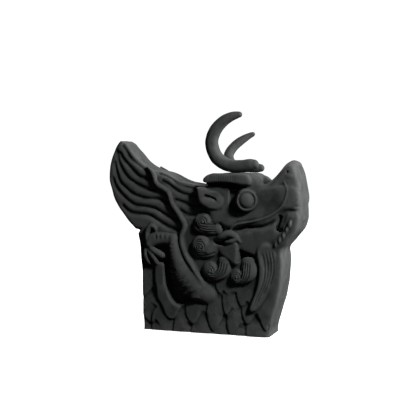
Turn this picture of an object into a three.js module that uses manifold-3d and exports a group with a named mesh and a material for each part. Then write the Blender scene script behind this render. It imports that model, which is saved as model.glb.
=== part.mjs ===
// Ridge beast ornament: a dragon head of dark grey fired clay that stands on a roof ridge.
// Millimetres, +Z up, +X towards the snout. The origin is the middle of the flat underside.
// The beast is carved alike on both flanks, so the relief is described once and mirrored.

import * as THREE from "three";
import * as BufferGeometryUtils from "three/addons/utils/BufferGeometryUtils.js";
import Module from "manifold-3d";

const wasm = await Module();
wasm.setup();

// ---------------------------------------------------------------- driving dimensions

const BASE_LENGTH = 230;          // the flat underside along X
const BLOCK_HALF = 36;            // half thickness of the base block
const BLOCK_EDGE = 4;             // rounding of the block's edges
const MANE_TIP_HALF = 27;         // half thickness of the mane at its rear tip
const MANE_TIP = [-163.5, 336.5];  // the raised rear tip, in X and Z
const MANE_LINE = [[-126, 178], [-30, 265]];  // where the mane begins to thin
const MANE_EDGE = 6;
const MANE_SWELL = 1.02;           // the mane stands a little proud of the block at its root
const HEAD_HALF = 42;             // half thickness of the head at the cheeks
const HEAD_EDGE = 10;
const SNOUT_HALF = 38;             // half thickness of the upturned end of the snout
const SNOUT_CROWN = 11;            // how much lower its sides are than its middle
const SNOUT_FRONT = 170;          // the foremost point of the head
const SNOUT_TIP_HEIGHT = 302;
const BROW_TOP = 278.5;           // the flat top of the brow roll, which carries the horns
const BROW_HALF = 53;
const TOUCH_GAP = 0.3;            // between each horn and the brow
const GROOVE_WIDE = 1.7;          // half width of a carved groove
const GROOVE_DEEP = 3.2;

// Places on the flank are [x, z]; a level is the distance from the mid-plane.
const EYE_X = 74;
const EYE_Z = 235;
const NOSTRIL_X = 161;
const NOSTRIL_Z = 282;
const NOSTRIL_LEVEL = 29;
const CURL_HIGH = 13;
const SPIRAL_TURNS = 1.6;
const SPIRAL_START = 3.4;
const JAW_ROLLS = 5;
const BEARD_LEVEL = 46;
const MANE_STEPS = 4;
const NECK_STEPS = 3;
const RIGHT_HORN_OFFSET = 21;
const RIGHT_HORN_LEAN = 4;        // degrees outward
const LEFT_HORN_OFFSET = 14;
const LEFT_HORN_LEAN = 30;

const HORN_SIDES = 8;
const HORN_STEPS = 16;
const LIMB_SIDES = 8;
const CLAW_SIDES = 5;
const CLAW_STEPS = 3;
const LEAF_SIDES = 6;
const GROOVE_SIDES = 4;
const BALL_SEGMENTS = 9;
const CURL_SEGMENTS = 7;
const SMALL_SEGMENTS = 5;

const BASE_FRONT = BASE_LENGTH / 2;
const BASE_REAR = -BASE_LENGTH / 2;

const CLAY = { color: 0x4a4e4d, roughness: 0.9, metalness: 0 };

// ---------------------------------------------------------------- solids and sweeps

/** A closed geometry as a solid that can be joined and cut. */
function solidOf(geometry) {
  const bare = geometry.clone();
  bare.deleteAttribute("normal");
  bare.deleteAttribute("uv");
  const merged = BufferGeometryUtils.mergeVertices(bare, 1e-4);
  return new wasm.Manifold(new wasm.Mesh({
    numProp: 3,
    vertProperties: new Float32Array(merged.attributes.position.array),
    triVerts: new Uint32Array(merged.index.array),
  }));
}

/** The same geometry on the other flank, with its faces turned to point outward again. */
function mirrored(geometry) {
  const copy = geometry.clone();
  copy.scale(1, -1, 1);
  if (!copy.index) {
    return copy.setIndex([...Array(copy.attributes.position.count).keys()].reverse());
  }
  copy.setIndex([...copy.index.array].reverse());
  return copy;
}

/** All the geometries joined into one solid. */
function joined(geometries) {
  return geometries.map(solidOf).reduce((whole, piece) => whole.add(piece));
}

/** The geometries of one flank and their mirror images. */
function bothFlanks(geometries) {
  return geometries.flatMap((geometry) => [geometry, mirrored(geometry)]);
}

/** A flat plate across the beast: an outline in X and Z, with rounded edges, centred on Y = 0. */
function plate(outline, half, edge, { edgeSteps = 2, steps = 1 } = {}) {
  const shape = new THREE.Shape(outline.map(([x, z]) => new THREE.Vector2(x, z)));
  const geometry = new THREE.ExtrudeGeometry(shape, {
    depth: 2 * (half - edge),
    bevelEnabled: true,
    bevelThickness: edge,
    bevelSize: edge,
    bevelOffset: -edge,
    bevelSegments: edgeSteps,
    steps,
  });
  geometry.translate(0, 0, -(half - edge));
  geometry.rotateX(Math.PI / 2);
  return geometry;
}

/** Points of a smooth open line through [x, z] stations. */
function smooth(stations, count) {
  const line = new THREE.SplineCurve(stations.map(([x, z]) => new THREE.Vector2(x, z)));
  return line.getPoints(count).map((point) => [point.x, point.y]);
}

/**
 * A limb swept along stations [x, z, level, wide, high] on the right flank. Level is the distance
 * of its middle from the mid-plane, wide and high are its half sizes along and off the flank.
 */
function limb(stations, steps, sides = LIMB_SIDES) {
  const path = new THREE.CatmullRomCurve3(
    stations.map(([x, z, level]) => new THREE.Vector3(x, -level, z)));
  const sizes = new THREE.CatmullRomCurve3(
    stations.map(([, , , wide, high]) => new THREE.Vector3(wide, high, 0)));
  const geometry = new THREE.CylinderGeometry(1, 1, 1, sides, steps);
  const ring = geometry.attributes.position;
  for (let i = 0; i < ring.count; i += 1) {
    const t = THREE.MathUtils.clamp(0.5 - ring.getY(i), 0, 1);
    const along = path.getTangent(t);
    const out = new THREE.Vector3(0, -1, 0);
    out.addScaledVector(along, -out.dot(along)).normalize();
    const side = new THREE.Vector3().crossVectors(out, along);
    const size = sizes.getPoint(t);
    const point = path.getPoint(t)
      .addScaledVector(side, ring.getX(i) * size.x)
      .addScaledVector(out, ring.getZ(i) * size.y);
    ring.setXYZ(i, point.x, point.y, point.z);
  }
  return geometry;
}

/** A V-shaped carved line through [x, z] points at one level. */
function groove(points, level, steps, wide = GROOVE_WIDE, deep = GROOVE_DEEP) {
  const last = points.length - 1;
  const stations = points.map(([x, z, own = level], i) => {
    const end = i === 0 || i === last ? 0.4 : 1;
    return [x, z, own, wide * end, deep * end];
  });
  return limb(stations, steps, GROOVE_SIDES);
}

/** A carved line that follows the thinning flank of the mane. */
function maneGroove(points, steps) {
  return groove(points.map(([x, z]) => [x, z, maneHalf(x, z)]), BLOCK_HALF, steps);
}

/** A ball or a flattened dome at [x, z], with half sizes along X, off the flank and along Z. */
function dome(x, z, level, [sizeX, sizeY, sizeZ], segments = BALL_SEGMENTS) {
  const ball = new THREE.SphereGeometry(1, segments, Math.round(segments * 0.55));
  ball.scale(sizeX, sizeY, sizeZ);
  ball.translate(x, -level, z);
  return ball;
}

// ---------------------------------------------------------------- the large forms

/** The base block and the chest, from the underside up to the neck. */
function baseBlock() {
  const below = -20;
  const rear = [[BASE_REAR, below], [BASE_REAR, 0], [-117, 45], [-117.5, 100], [-120, 124], [-121.5, 150],
    [-126, 172]];
  const chest = smooth([[76, 232], [114, 192], [137, 150], [138, 105], [133, 71], [124, 38]], 6);
  const front = [[BASE_FRONT + 2, 14], [BASE_FRONT, below]];
  const outline = [...rear, [-98, 198], [-30, 260], [20, 262], ...chest, ...front].reverse();
  return plate(outline, BLOCK_HALF, BLOCK_EDGE, { edgeSteps: 1 });
}

/** How far [x, z] lies behind the line where the mane begins to thin. */
function behindLine(x, z) {
  const [[x0, z0], [x1, z1]] = MANE_LINE;
  return ((x1 - x0) * (z - z0) - (z1 - z0) * (x - x0)) / Math.hypot(x1 - x0, z1 - z0);
}

/** Half the thickness of the mane at [x, z]: the block's at the neck, less towards the tip. */
function maneHalf(x, z) {
  const reach = Math.max(0, behindLine(x, z) / behindLine(...MANE_TIP));
  return THREE.MathUtils.lerp(BLOCK_HALF * MANE_SWELL, MANE_TIP_HALF, reach);
}

/** The swept-back mane: thick at the neck and thinner towards its raised rear tip. */
function maneFan() {
  const rear = smooth([[-131, 178], [-157.5, 207], [-176, 236], [-184.5, 270], [-183.5, 296], [-174, 322],
    MANE_TIP], 10);
  const top = smooth([[-153, 331.5], [-142, 320], [-123.5, 303], [-100, 290], [-77, 285], [-44, 270],
    [-18, 263]], 9);
  const outline = [[-60, 176], [0, 190], ...top.reverse(), ...rear.reverse()];
  const geometry = plate(outline, BLOCK_HALF, MANE_EDGE, { edgeSteps: 1 });
  const corner = geometry.attributes.position;
  for (let i = 0; i < corner.count; i += 1) {
    corner.setY(i, corner.getY(i) * maneHalf(corner.getX(i), corner.getZ(i)) / BLOCK_HALF);
  }
  return geometry;
}

/** The head in side view: crown, nose bridge, snout, lips and jaw. */
function headBlock() {
  const bridge = smooth([[82, 262], [98, 260.5], [106, 260.5], [126, 272]], 4);
  const front = smooth([[160, 276], [167, 256], [SNOUT_FRONT, 238], [SNOUT_FRONT, 208], [164, 184],
    [150, 166.5], [136, 150]], 8);
  const jaw = [[98, 133], [80, 141], [62, 149], [44, 168], [20, 190], [6, 215], [4, 254]];
  return plate([[12, 262], ...bridge, ...front, ...jaw], HEAD_HALF, HEAD_EDGE, { edgeSteps: 2 });
}

/** The upturned end of the snout: narrower than the head, with a top crowned from side to side. */
function snoutTip() {
  const back = [[96, 258], [106, 261], [120, 273], [130, 284.5], [141, 296.5], [150, SNOUT_TIP_HEIGHT]];
  const front = [[157.5, 299], [162, 288], [167, 266], [168.5, 244]];
  const geometry = plate([[106, 240], ...back, ...front], SNOUT_HALF, 4, { steps: 4 });
  const corner = geometry.attributes.position;
  for (let i = 0; i < corner.count; i += 1) {
    const rise = THREE.MathUtils.smoothstep(corner.getZ(i), 250, 275);
    const fall = SNOUT_CROWN * (corner.getY(i) / SNOUT_HALF) ** 2;
    corner.setZ(i, corner.getZ(i) - rise * fall);
  }
  return geometry;
}

/** The thick brow roll that overhangs both eyes and carries the horns. */
function browRoll() {
  const top = [[8, 271], [16, 276.5], [26, BROW_TOP], [76, BROW_TOP], [82, 273]];
  const outline = [...top, [87, 262], [84, 254], [75, 261], [40, 264], [4, 263]].reverse();
  return plate(outline, BROW_HALF, 5, { edgeSteps: 1 });
}

/** A cutter with a straight outline in X and Z, from one level outwards past the flank. */
function notch(outline, level) {
  const shape = new THREE.Shape(outline.map(([x, z]) => new THREE.Vector2(x, z)));
  const cut = new THREE.ExtrudeGeometry(shape, { depth: 2 * HEAD_HALF, bevelEnabled: false });
  cut.rotateX(Math.PI / 2);
  cut.translate(0, -level, 0);
  return cut;
}

/** The mouth corner: a deep notch between the upper lip and the lower lip. */
function mouthNotch() {
  const gape = [[SNOUT_FRONT + 9, 222], [SNOUT_FRONT + 9, 217]];
  return notch([[131, 206], [143, 217], ...gape, [153, 212], [144, 207], [138, 196], [132, 184]], 24);
}

/** The sunk ground behind the foreleg, and the one under the jaw. */
function sunkGround() {
  return [
    notch([[-94, 150], [-56, 150], [-46, 100], [-10, 60], [-6, 50], [-46, 45], [-62, 56], [-76, 90]], 31),
    notch([[62, 150], [96, 133], [96, 122], [66, 126]], 31),
  ];
}

/** A box below the underside, which leaves the block with one flat face to stand on. */
function belowGround() {
  const box = new THREE.BoxGeometry(2 * BASE_LENGTH, 4 * BLOCK_HALF, 60);
  box.translate(0, 0, -30);
  return box;
}

// ---------------------------------------------------------------- relief on each flank

/** A drum that stands out from the flank: its wide end inside, its narrow end outside. */
function drum(x, z, level, [inner, outer, tall], stretch) {
  const geometry = new THREE.CylinderGeometry(inner, outer, tall, BALL_SEGMENTS, 1);
  geometry.scale(1, 1, stretch);
  geometry.translate(x, -level, z);
  return geometry;
}

/** The eye: a raised drum with a hollowed rim and the ball inside it. */
function eyeDrum() {
  return drum(EYE_X, EYE_Z, HEAD_HALF + 4, [19, 15.5, 16], 1.13);
}

function eyeHollow() {
  return drum(EYE_X, EYE_Z, HEAD_HALF + 13, [12.5, 14, 8], 1.13);
}

function eyeBall() {
  return dome(EYE_X, EYE_Z, HEAD_HALF + 1, [13, 14, 14]);
}

/** The ear: a leaf that points up and back, with a slit along it. */
function earLeaf() {
  return limb([[-6, 254, 40, 3, 4], [-4, 239, 41, 10, 8], [9, 229, 41, 16, 9], [24, 231, 40, 16, 8],
    [40, 240, 37, 10, 5]], 6, LEAF_SIDES);
}

/** A spiral curl of hair: a low dome, the incised spiral line and the strand that it ends in. */
function curl(x, z, radius, tail) {
  const mound = dome(x, z, BLOCK_HALF, [radius * 1.12, CURL_HIGH, radius], CURL_SEGMENTS);
  return [mound, limb(tail, 3, LEAF_SIDES)];
}

function curlSpiral(x, z, radius) {
  const count = 6;
  const points = [];
  for (let i = 0; i <= count; i += 1) {
    const along = i / count;
    const reach = radius * (0.86 - 0.66 * along);
    const angle = SPIRAL_START - along * SPIRAL_TURNS * 2 * Math.PI;
    const level = BLOCK_HALF + CURL_HIGH * Math.sqrt(1 - (reach / radius) ** 2);
    points.push([x + 1.1 * reach * Math.cos(angle), z + reach * Math.sin(angle), level]);
  }
  return limb(points.map(([px, pz, level]) => [px, pz, level, 1.6, 2.6]), count, 3);
}

/** The raised foreleg: thigh, knee, forearm and paw. */
function foreleg() {
  return [
    limb([[14, 62, 34, 7, 8], [2, 71, 36, 14, 12], [-18, 84, 37, 18, 15], [-33, 103, 38, 17, 15],
      [-44, 124, 39, 13.5, 13], [-51, 146, 40, 9.5, 11], [-53, 166, 40, 6, 8]], 6),
    limb([[-48, 160, 38, 9, 9], [-66, 161, 38, 9, 9], [-84, 160, 38, 9, 9], [-104, 155, 38, 11, 9],
      [-112, 146, 37, 8, 6]], 5, LEAF_SIDES),
    dome(-80, 164, 41, [11, 7, 6], SMALL_SEGMENTS),
  ];
}

/** The four hooked claws of the paw. */
function claws() {
  const toes = [
    [[-106, 156, 38, 5, 6], [-105, 170, 39, 5.5, 6], [-97, 183, 39, 5, 6], [-88, 181, 40, 1.6, 3]],
    [[-104, 148, 38, 4, 6], [-92, 145, 41, 5, 6], [-80, 139, 41, 5, 6], [-68, 132, 40, 2, 3]],
    [[-108, 142, 38, 4, 6], [-99, 137, 41, 5, 6], [-90, 129, 41, 4.5, 6], [-83, 118, 40, 2, 3]],
    [[-112, 140, 37, 3.5, 5], [-108, 131, 40, 4.2, 6], [-101, 122, 40, 4, 5], [-95, 116, 39, 2, 3]],
  ];
  return toes.map((toe) => limb(toe, CLAW_STEPS, CLAW_SIDES));
}

/** The flat band that hangs below the paw and curves in towards the scales. */
function hangingBand() {
  return limb([[-86, 116, 34, 9, 6], [-85, 92, 34, 9.5, 6], [-80, 66, 34, 11, 6], [-70, 46, 34, 10, 6],
    [-62, 30, 34, 7, 4]], 6, 6);
}

/** The long wavy whisker strand that runs from the mane down to the shoulder. */
function whiskerStrand() {
  return limb([[-108, 289, 30, 1.5, 3], [-95, 277, 34, 4, 6], [-88, 260, 36, 4.5, 6], [-66, 245, 37, 5, 6],
    [-58, 226, 38, 4.5, 6], [-44, 205, 38, 5, 6], [-35, 188, 38, 5, 6], [-41, 168, 38, 4.5, 6],
    [-33, 138, 38, 5, 6], [-17, 117, 38, 4.5, 6], [-3, 93, 38, 4, 5]], 10, 5);
}

/** The leaf below the ear curls: a knot and a petal that points down. */
function leaf() {
  return [
    limb([[24, 163, 38, 5, 7], [38, 167, 40, 8, 9], [52, 169, 40, 8, 9], [66, 166, 36, 5, 6]], 4, LEAF_SIDES),
    limb([[44, 160, 40, 20, 8], [52, 146, 41, 14, 8], [57, 134, 41, 8, 7], [59, 121, 39, 2, 4]], 4,
      LEAF_SIDES),
  ];
}

/** The thin raised lip that sweeps from the snout back along the mouth, and the lip below it. */
function lips() {
  return [
    limb([[146, 262, 38, 2, 4], [149, 250, 41, 3, 5], [146, 236, 42, 3, 5], [138, 223, 42, 3, 5],
      [122, 210, 42, 3, 5], [98, 200, 42, 3, 5], [72, 194, 41, 3, 5], [52, 186, 39, 2, 4]], 10, 5),
    limb([[132, 203, 38, 3, 5], [118, 197, 41, 5, 5], [102, 192, 41, 4, 5], [88, 190, 39, 2, 3]], 4, 5),
  ];
}

/** The row of small rolls that edges the lower jaw. */
function jawRolls() {
  const row = new THREE.SplineCurve([new THREE.Vector2(151, 197), new THREE.Vector2(141, 177),
    new THREE.Vector2(125, 163)]);
  return row.getPoints(JAW_ROLLS - 1)
    .map(({ x, y }) => dome(x, y, HEAD_HALF - 3, [5, 7, 5], SMALL_SEGMENTS));
}

/** The beard that falls from the jaw over the chest and ends in a point turned forward. */
function beard() {
  return limb([[112, 166, 33, 14, 9], [113, 140, 35, 16, 10], [113, 110, 35, 15.5, 11],
    [106, 82, 35, 14, 11], [96, 60, 34, 11, 9], [86, 43, 33, 2, 4]], 6, LEAF_SIDES);
}

/** The bulb of the nose between the nostrils. */
function noseBulb() {
  return dome(152, 290, 0, [9, 27, 10], CURL_SEGMENTS);
}

const EAR_SLIT = [[2, 241, 49], [13, 237, 50], [24, 232, 49]];
const CURLS = [
  { x: -1, z: 195, radius: 15, tail: [[-6, 184, 38, 6, 8], [10, 182, 39, 7, 7], [24, 183, 37, 5, 4]] },
  { x: 0, z: 150, radius: 17, tail: [[-4, 140, 38, 5, 8], [10, 139, 39, 6, 7], [24, 146, 37, 4, 4]] },
  { x: 12, z: 111, radius: 15, tail: [[20, 105, 38, 7, 8], [32, 116, 39, 8, 7], [42, 129, 38, 6, 4]] },
  { x: 59, z: 100, radius: 14, tail: [[66, 95, 38, 7, 8], [76, 111, 39, 9, 7], [80, 129, 38, 7, 4]] },
];

const MANE_GROOVES = [
  [[-157, 329], [-149, 316], [-130, 297.5], [-103, 281]],
  [[-161, 318], [-146, 294], [-122, 271], [-97, 267]],
  [[-169, 320], [-164, 297], [-147, 271], [-120, 254], [-92, 249]],
  [[-174, 302], [-168, 275], [-149, 250], [-122, 236], [-86, 232], [-66, 223]],
  [[-177, 275], [-166, 249], [-141, 226], [-101, 218], [-60, 200], [-44, 195]],
  [[-153, 216], [-132, 206], [-101, 202], [-63, 182], [-42, 178]],
];
const NECK_GROOVES = [
  [[-84, 277], [-62, 270], [-38, 256], [-8, 251]],
  [[-79, 264], [-54, 250], [-20, 239], [-8, 239]],
  [[-51, 231], [-35, 226], [-8, 222]],
  [[-44, 214], [-32, 207.5], [-16, 207]],
];
const BEARD_GROOVES = [
  [[103, 150], [106, 118], [99, 82], [88, 50]],
  [[109, 152], [112, 120], [107, 85], [91, 49]],
  [[115, 154], [118, 120], [114, 90], [95, 52]],
];
const SCALE_GROOVES = [
  [[8, 55], [3, 28], [15, 3]], [[15, 8], [35, 35]],
  [[-34, 48], [-34, 30], [-22, 16]], [[-22, 16], [-4, 40]],
  [[33, 68], [34, 55], [38, 36]], [[58, 75], [60, 62], [67, 53]],
  [[68, 50], [69, 35], [77, 22]], [[95, 42], [100, 30], [108, 12]],
  [[-90, 42], [-98, 26], [-100, 2]], [[-45, 37], [-54, 26], [-60, 2]],
  [[-4, 40], [-20, 15], [-25, 2]], [[42, 38], [41, 22], [47, 2]],
  [[-110, 62], [-97, 75]],
];

/** Every form that stands out from the right flank. */
function flankRelief() {
  return [
    eyeDrum(), earLeaf(), ...foreleg(), ...claws(), hangingBand(), whiskerStrand(), ...leaf(), ...lips(),
    ...jawRolls(), beard(),
    ...CURLS.flatMap(({ x, z, radius, tail }) => curl(x, z, radius, tail)),
  ];
}

/** Every line that is carved into the right flank. */
function flankCarving() {
  return [
    eyeHollow(),
    groove(EAR_SLIT, BLOCK_HALF, 4, 2, 5),
    ...MANE_GROOVES.map((line) => maneGroove(line, MANE_STEPS)),
    ...NECK_GROOVES.map((line) => maneGroove(line, NECK_STEPS)),
    ...SCALE_GROOVES.map((line) => groove(line, BLOCK_HALF, 2)),
    ...BEARD_GROOVES.map((line) => groove(line.map(([x, z]) => [x, z, BEARD_LEVEL]), BEARD_LEVEL, 3, 1.2, 3)),
    ...CURLS.map(({ x, z, radius }) => curlSpiral(x, z, radius)),
    dome(NOSTRIL_X, NOSTRIL_Z, NOSTRIL_LEVEL, [4, 2, 2], SMALL_SEGMENTS),
  ];
}

/** The whole beast below the horns, as one solid. */
function body() {
  const blocks = joined([baseBlock(), maneFan(), headBlock(), snoutTip(), noseBulb(), browRoll()]);
  const carved = blocks
    .subtract(joined(bothFlanks([mouthNotch(), ...sunkGround()])))
    .add(joined(bothFlanks(flankRelief())))
    .subtract(joined(bothFlanks(flankCarving())))
    .subtract(solidOf(belowGround()));
  return carved.add(joined(bothFlanks([eyeBall()])));
}

// ---------------------------------------------------------------- the horns

/**
 * A horn: a tapered clay roll bent into a C, through stations [x, height over the brow, radius]
 * from its root to its tip. It stands at an offset from the mid-plane and leans outward.
 */
function horn(stations, offset, lean) {
  const geometry = limb(stations.map(([x, height, radius]) => [x, height, 0, radius, radius]),
    HORN_STEPS, HORN_SIDES);
  geometry.rotateX(THREE.MathUtils.degToRad(lean));
  geometry.translate(0, -offset, BROW_TOP + TOUCH_GAP);
  return geometry;
}

const RIGHT_HORN = [[86, 15.8, 5], [81, 15, 10], [67, 12.3, 11], [49, 11.6, 11.3], [32, 16.8, 11.6],
  [18, 28, 11.8], [10.5, 50.5, 11.8], [15.7, 70.5, 11.3], [32, 88.5, 9.8], [47, 97, 8.2], [59, 100.4, 5.6],
  [63, 101, 2]];
const LEFT_HORN = [[88, 9, 3], [83, 9.3, 7.2], [66, 10.8, 8.9], [48, 11.4, 9.2], [34, 15.8, 9.2],
  [25, 26, 9.2], [23, 38, 9], [28, 50.5, 8.6], [37, 61.5, 8], [48, 71, 6.8], [59, 78, 4.8], [63, 80, 2]];

// ---------------------------------------------------------------- the object

/** A solid or a closed geometry as a named mesh of fired clay. */
function clayMesh(name, shape) {
  let geometry = shape;
  if (!shape.isBufferGeometry) {
    const { vertProperties, triVerts } = shape.getMesh();
    geometry = new THREE.BufferGeometry();
    geometry.setAttribute("position", new THREE.BufferAttribute(vertProperties, 3));
    geometry.setIndex(new THREE.BufferAttribute(triVerts, 1));
  }
  const mesh = new THREE.Mesh(geometry, new THREE.MeshStandardMaterial(CLAY));
  mesh.name = name;
  return mesh;
}

const ridgeBeast = new THREE.Group();
ridgeBeast.add(clayMesh("body", body()));
ridgeBeast.add(clayMesh("horn_right", horn(RIGHT_HORN, RIGHT_HORN_OFFSET, RIGHT_HORN_LEAN)));
ridgeBeast.add(clayMesh("horn_left", mirrored(horn(LEFT_HORN, LEFT_HORN_OFFSET, LEFT_HORN_LEAN))));

export default ridgeBeast;
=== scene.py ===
"""Ridge beast ornament of dark grey fired clay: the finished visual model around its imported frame.

The body is modelled the way a potter does it: blocks for the large forms, relief laid on both
flanks, and lines scored into the wet clay. Sizes are in millimetres while a piece is modelled, and
the finished mesh is in metres. Places on a flank are (x, z), and a level is the distance from the
mid-plane of the beast.
"""
import logging
import math
from dataclasses import dataclass
from enum import Enum

import bmesh
import bpy
import numpy as np
from mathutils import Matrix, Vector


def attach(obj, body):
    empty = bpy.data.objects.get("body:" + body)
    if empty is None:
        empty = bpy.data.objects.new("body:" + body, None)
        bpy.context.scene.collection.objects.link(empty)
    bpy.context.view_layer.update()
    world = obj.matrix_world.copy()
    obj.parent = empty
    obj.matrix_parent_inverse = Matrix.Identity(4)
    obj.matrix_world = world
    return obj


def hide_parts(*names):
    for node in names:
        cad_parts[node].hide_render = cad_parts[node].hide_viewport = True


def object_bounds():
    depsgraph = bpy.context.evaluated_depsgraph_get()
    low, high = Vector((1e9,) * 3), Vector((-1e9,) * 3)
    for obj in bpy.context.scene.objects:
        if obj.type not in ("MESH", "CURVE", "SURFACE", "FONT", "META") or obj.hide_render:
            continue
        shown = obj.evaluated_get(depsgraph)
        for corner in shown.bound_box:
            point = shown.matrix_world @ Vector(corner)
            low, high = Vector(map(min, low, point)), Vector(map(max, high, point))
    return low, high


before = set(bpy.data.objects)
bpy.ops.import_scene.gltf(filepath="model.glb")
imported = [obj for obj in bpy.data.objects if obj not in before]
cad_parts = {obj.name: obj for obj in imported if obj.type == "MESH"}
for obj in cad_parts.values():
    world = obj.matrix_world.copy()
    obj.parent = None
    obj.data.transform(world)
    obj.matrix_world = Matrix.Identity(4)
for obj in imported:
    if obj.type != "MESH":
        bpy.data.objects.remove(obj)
CAD_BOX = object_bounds()

LOG = logging.getLogger("ridge_beast")
MM = 0.001
SEED = 11

BLOCK_HALF = 36.0
HEAD_HALF = 42.0
GROUND_VOXEL = 1.3
SKIN_VOXEL = 1.08
HORN_VOXEL = 0.9
BOX_MARGIN = 0.05
MOST_TRIANGLES = 190_000

Place = tuple[float, float]
Places = tuple[Place, ...]
Station = tuple[float, float, float, float, float]
Stations = tuple[Station, ...]
Sizes = tuple[float, float, float]
Knob = tuple[float, float, float, Sizes]
Region = tuple[int, Place, Place]
Dish = tuple[float, float, Place, float, Place]

FLANK_LEVELS = (12.0, 90.0)
GROUND_LEVELS = (12.0, 40.0)


class Part(Enum):
    """The pieces of the ornament, by the name of the frame node that each one stands for."""

    BODY = "body"
    RIGHT_HORN = "horn_right"
    LEFT_HORN = "horn_left"


@dataclass(frozen=True)
class Pad:
    """A flat pad of clay: its outline, the levels of its faces and the radius of its outer rim.

    A taper is a place of full height, a place of less height, and the share of the height there.
    """

    outline: Places
    low: float
    high: float
    edge: float
    taper: tuple[Place, Place, float] | None = None


@dataclass(frozen=True)
class Cut:
    """A scored line: how far its shoulders reach, its depth, how its ends fade and what it touches."""

    wide: float
    deep: float
    fade: float = 0.12
    levels: Place = FLANK_LEVELS


@dataclass(frozen=True)
class Hollow:
    """Sunk ground: its outline, its depth, the width of its slope and the levels that it touches."""

    outline: Places
    deep: float
    soft: float
    levels: Place = GROUND_LEVELS


# ---------------------------------------------------------------- lines and numbers


def smooth_line(stations: Places | Stations, count: int) -> np.ndarray:
    """Draw a smooth open line through its stations.

    Args:
        stations: The stations, each with its place first.
        count: The number of steps on the whole line.

    Returns:
        One row for each of count + 1 points.
    """
    given = np.asarray(stations, dtype=float)
    first = 2 * given[0] - given[1]
    last = 2 * given[-1] - given[-2]
    knots = np.vstack([first, given, last])
    reach = min(3, knots.shape[1])
    gaps = np.linalg.norm(np.diff(knots[:, :reach], axis=0), axis=1) ** 0.5
    gaps = np.maximum(gaps, 1e-3)
    rows = []
    for place in np.linspace(0, len(given) - 1, count + 1):
        i = min(int(place), len(given) - 2)
        t = place - i
        before, start, end, after = knots[i:i + 4]
        gap_in, gap, gap_out = gaps[i:i + 3]
        leave = (start - before) / gap_in - (end - before) / (gap_in + gap) + (end - start) / gap
        arrive = (end - start) / gap - (after - start) / (gap + gap_out) + (after - end) / gap_out
        leave, arrive = leave * gap, arrive * gap
        bend = -3 * start + 3 * end - 2 * leave - arrive
        twist = 2 * start - 2 * end + leave + arrive
        rows.append(start + leave * t + bend * t ** 2 + twist * t ** 3)
    return np.array(rows)


def ease(values: np.ndarray, low: float, high: float) -> np.ndarray:
    """Run smoothly from 0 to 1 between two values.

    Args:
        values: The values to ease.
        low: The value that gives 0.
        high: The value that gives 1.

    Returns:
        The eased shares, of the same shape as the values.
    """
    share = np.clip((values - low) / (high - low), 0.0, 1.0)
    return share * share * (3 - 2 * share)


# ---------------------------------------------------------------- clay that is laid on


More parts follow.
